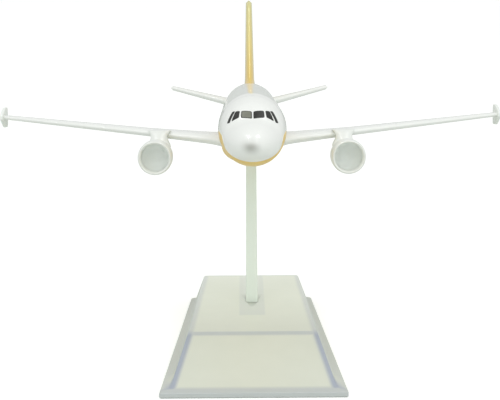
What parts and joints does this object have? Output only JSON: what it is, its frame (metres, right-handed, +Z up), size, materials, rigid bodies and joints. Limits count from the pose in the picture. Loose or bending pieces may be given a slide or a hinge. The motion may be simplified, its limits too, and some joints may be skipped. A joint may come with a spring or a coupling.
{
  "type": "desktop airliner model",
  "caption": "Desktop model of a twin-engine swept-wing airliner, held nose-up on a slim post that plugs into a low hollow drafted stand base.",
  "frame": {"origin": "on the desk plane, under the middle of the whole object's bounding box", "axes": "+Z up, the nose points towards -Y, +X towards the wing on the right of a viewer facing the nose"},
  "size_m": [0.146, 0.1612, 0.0941],
  "materials": {
    "white_enamel": "gloss white enamel on zinc die casting",
    "amber_enamel": "gloss pale amber enamel",
    "nacelle_plastic": "gloss moulded white",
    "fence_plastic": "gloss moulded pale grey",
    "fan_plastic": "satin moulded pale grey",
    "cone_plastic": "satin moulded grey",
    "screw_steel": "zinc plated",
    "stand_plastic": "frosted translucent moulded polystyrene"
  },
  "bodies": {
    "stand_base": {"stand_base": "stand_plastic"},
    "stand_post": {"stand_post": "stand_plastic"},
    "airliner": {"fuselage_upper": "white_enamel", "fuselage_lower": "white_enamel", "belly_fairing": "amber_enamel", "left_wing": "white_enamel", "right_wing": "white_enamel", "left_wingtip_fence": "fence_plastic", "right_wingtip_fence": "fence_plastic", "left_nacelle": "nacelle_plastic", "right_nacelle": "nacelle_plastic", "left_fan_disc": "fan_plastic", "right_fan_disc": "fan_plastic", "left_exhaust_cone": "cone_plastic", "right_exhaust_cone": "cone_plastic", "tail_fin": "amber_enamel", "left_tailplane": "white_enamel", "right_tailplane": "white_enamel", "front_belly_screw": "screw_steel", "rear_belly_screw": "screw_steel"}
  },
  "joints": [
    {"name": "post_pull", "type": "slide", "parent": "stand_base", "child": "stand_post", "axis": [0, 0, 1], "range_m": [0, 0.004]},
    {"name": "plane_lift", "type": "slide", "parent": "stand_post", "child": "airliner", "axis": [0, 0.0698, 0.9976], "range_m": [0, 0.008]}
  ]
}
